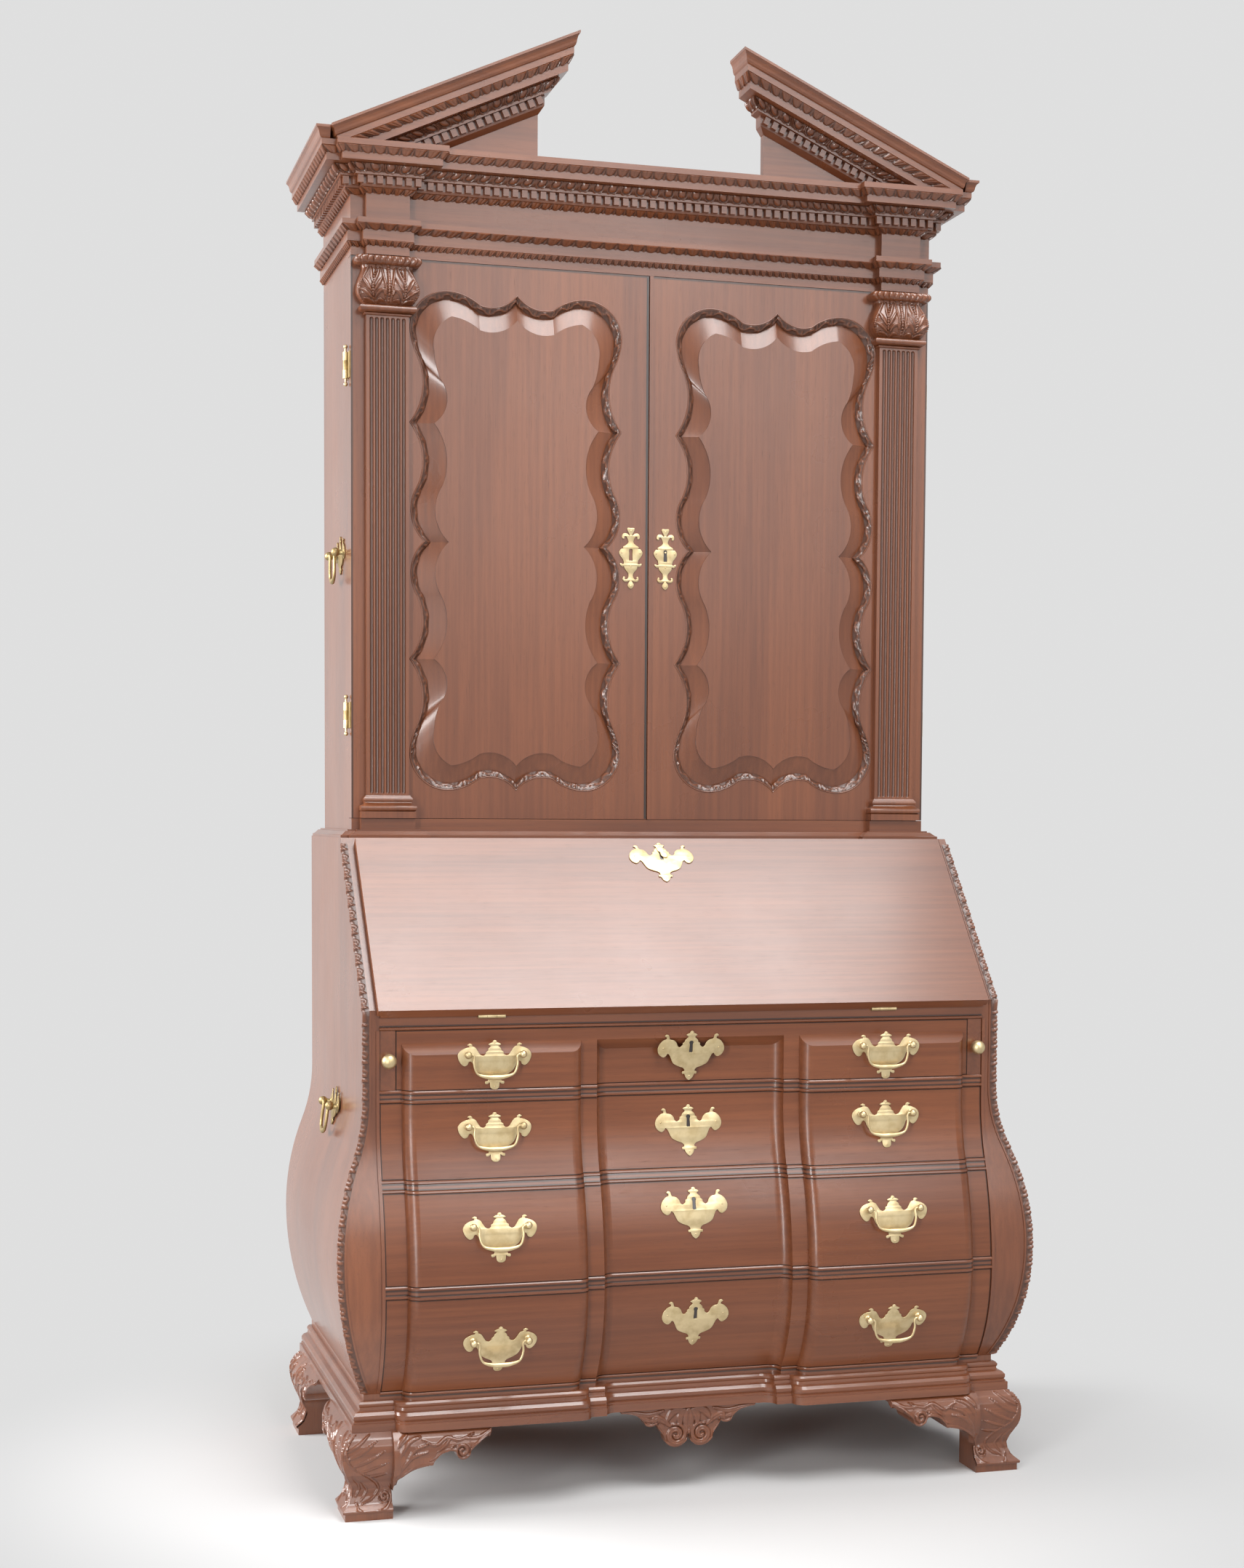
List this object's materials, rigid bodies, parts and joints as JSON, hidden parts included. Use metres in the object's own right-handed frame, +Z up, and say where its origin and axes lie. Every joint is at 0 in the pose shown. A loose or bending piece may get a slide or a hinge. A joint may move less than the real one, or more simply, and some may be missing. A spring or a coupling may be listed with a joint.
{
  "type": "bureau bookcase",
  "caption": "Desk with a swelled, blocked drawer front and a slanted fall, under a bookcase with scalloped panel doors, pilasters and a broken pediment.",
  "frame": {"origin": "middle of the footprint, on the floor", "axes": "+Z up, +X to the right of someone facing the front, -Y out of the front"},
  "size_m": [1.1772, 0.6462, 2.4068],
  "materials": {
    "mahogany": "polished, carved mouldings",
    "pine": "planed and unpolished",
    "brass": "polished cast brass"
  },
  "bodies": {
    "cabinet": {"desk_side_right": "mahogany", "desk_side_left": "mahogany", "corner_mouldings": "mahogany", "desk_top_and_bottom": "mahogany", "writing_board": "mahogany", "back_boards": "pine", "drawer_dividers": "mahogany", "drawer_runners": "pine", "base_moulding": "mahogany", "front_feet": "mahogany", "rear_feet": "mahogany", "pendant_drop": "mahogany", "pigeonhole_nest": "mahogany", "waist_moulding": "mahogany", "bookcase_side_right": "mahogany", "bookcase_side_left": "mahogany", "bookcase_boards": "mahogany", "architrave_and_frieze": "mahogany", "cornice": "mahogany", "pediment_right": "mahogany", "pediment_left": "mahogany", "case_hinge_leaves": "brass", "carrying_handle_plates": "brass"},
    "door_left": {"door_left_frame": "mahogany", "door_left_panel": "mahogany", "door_left_pilaster": "mahogany", "door_left_brass": "brass"},
    "loper_left_bar": {"loper_left": "mahogany", "loper_knob_left": "brass"},
    "door_right": {"door_right_frame": "mahogany", "door_right_panel": "mahogany", "door_right_pilaster": "mahogany", "door_right_brass": "brass", "door_astragal": "mahogany"},
    "loper_right_bar": {"loper_right": "mahogany", "loper_knob_right": "brass"},
    "fall": {"fall_front": "mahogany", "fall_front_brass": "brass"},
    "key_cover": {"keyhole_cover": "brass"},
    "drawer_1_box": {"drawer_1": "mahogany", "drawer_1_brass": "brass"},
    "drawer_1_pull_left": {"drawer_1_bail_left": "brass"},
    "drawer_1_pull_right": {"drawer_1_bail_right": "brass"},
    "drawer_2_box": {"drawer_2": "mahogany", "drawer_2_brass": "brass"},
    "drawer_2_pull_left": {"drawer_2_bail_left": "brass"},
    "drawer_2_pull_right": {"drawer_2_bail_right": "brass"},
    "drawer_3_box": {"drawer_3": "mahogany", "drawer_3_brass": "brass"},
    "drawer_3_pull_left": {"drawer_3_bail_left": "brass"},
    "drawer_3_pull_right": {"drawer_3_bail_right": "brass"},
    "drawer_4_box": {"drawer_4": "mahogany", "drawer_4_brass": "brass"},
    "drawer_4_pull_left": {"drawer_4_bail_left": "brass"},
    "drawer_4_pull_right": {"drawer_4_bail_right": "brass"},
    "carry_upper_left": {"carrying_bail_upper_left": "brass"},
    "carry_upper_right": {"carrying_bail_upper_right": "brass"},
    "carry_lower_left": {"carrying_bail_lower_left": "brass"},
    "carry_lower_right": {"carrying_bail_lower_right": "brass"}
  },
  "joints": [
    {"name": "door_left_hinge", "type": "hinge", "parent": "cabinet", "child": "door_left", "pos_m": [-0.5199, 0.04951, 1.5672], "axis": [0, 0, -1], "range_deg": [0, 110]},
    {"name": "loper_left_slide", "type": "slide", "parent": "cabinet", "child": "loper_left_bar", "axis": [0, -1, 0], "range_m": [0, 0.3]},
    {"name": "door_right_hinge", "type": "hinge", "parent": "cabinet", "child": "door_right", "pos_m": [0.5199, 0.04951, 1.5672], "axis": [0, 0, 1], "range_deg": [0, 110]},
    {"name": "loper_right_slide", "type": "slide", "parent": "cabinet", "child": "loper_right_bar", "axis": [0, -1, 0], "range_m": [0, 0.3]},
    {"name": "fall_hinge", "type": "hinge", "parent": "cabinet", "child": "fall", "pos_m": [0, -0.24629, 0.79], "axis": [1, 0, 0], "range_deg": [0, 129.7]},
    {"name": "key_cover_swivel", "type": "hinge", "parent": "fall", "child": "key_cover", "pos_m": [0, -0.05565, 1.05091], "axis": [0, -0.7694, 0.6388], "range_deg": [-75, 75]},
    {"name": "drawer_1_slide", "type": "slide", "parent": "cabinet", "child": "drawer_1_box", "axis": [0, -1, 0], "range_m": [0, 0.23]},
    {"name": "drawer_1_pull_left_hinge", "type": "hinge", "parent": "drawer_1_box", "child": "drawer_1_pull_left", "pos_m": [-0.3335, -0.27189, 0.731], "axis": [-1, 0, 0], "range_deg": [0, 80]},
    {"name": "drawer_1_pull_right_hinge", "type": "hinge", "parent": "drawer_1_box", "child": "drawer_1_pull_right", "pos_m": [0.3335, -0.27189, 0.731], "axis": [-1, 0, 0], "range_deg": [0, 80]},
    {"name": "drawer_2_slide", "type": "slide", "parent": "cabinet", "child": "drawer_2_box", "axis": [0, -1, 0], "range_m": [0, 0.38]},
    {"name": "drawer_2_pull_left_hinge", "type": "hinge", "parent": "drawer_2_box", "child": "drawer_2_pull_left", "pos_m": [-0.3335, -0.27515, 0.61722], "axis": [-1, 0, 0], "range_deg": [0, 80]},
    {"name": "drawer_2_pull_right_hinge", "type": "hinge", "parent": "drawer_2_box", "child": "drawer_2_pull_right", "pos_m": [0.3335, -0.27515, 0.61722], "axis": [-1, 0, 0], "range_deg": [0, 80]},
    {"name": "drawer_3_slide", "type": "slide", "parent": "cabinet", "child": "drawer_3_box", "axis": [0, -1, 0], "range_m": [0, 0.38]},
    {"name": "drawer_3_pull_left_hinge", "type": "hinge", "parent": "drawer_3_box", "child": "drawer_3_pull_left", "pos_m": [-0.3335, -0.31223, 0.46401], "axis": [-1, 0, 0], "range_deg": [0, 80]},
    {"name": "drawer_3_pull_right_hinge", "type": "hinge", "parent": "drawer_3_box", "child": "drawer_3_pull_right", "pos_m": [0.3335, -0.31223, 0.46401], "axis": [-1, 0, 0], "range_deg": [0, 80]},
    {"name": "drawer_4_slide", "type": "slide", "parent": "cabinet", "child": "drawer_4_box", "axis": [0, -1, 0], "range_m": [0, 0.38]},
    {"name": "drawer_4_pull_left_hinge", "type": "hinge", "parent": "drawer_4_box", "child": "drawer_4_pull_left", "pos_m": [-0.3335, -0.31596, 0.28023], "axis": [-1, 0, 0], "range_deg": [0, 80]},
    {"name": "drawer_4_pull_right_hinge", "type": "hinge", "parent": "drawer_4_box", "child": "drawer_4_pull_right", "pos_m": [0.3335, -0.31596, 0.28023], "axis": [-1, 0, 0], "range_deg": [0, 80]},
    {"name": "carry_upper_left_hinge", "type": "hinge", "parent": "cabinet", "child": "carry_upper_left", "pos_m": [-0.53, 0.13311, 1.552], "axis": [0, 1, 0], "range_deg": [0, 80]},
    {"name": "carry_upper_right_hinge", "type": "hinge", "parent": "cabinet", "child": "carry_upper_right", "pos_m": [0.53, 0.13311, 1.552], "axis": [0, -1, 0], "range_deg": [0, 80]},
    {"name": "carry_lower_left_hinge", "type": "hinge", "parent": "cabinet", "child": "carry_lower_left", "pos_m": [-0.55838, 0.02311, 0.62436], "axis": [0, 1, 0], "range_deg": [0, 80]},
    {"name": "carry_lower_right_hinge", "type": "hinge", "parent": "cabinet", "child": "carry_lower_right", "pos_m": [0.55838, 0.02311, 0.62436], "axis": [0, -1, 0], "range_deg": [0, 80]}
  ]
}
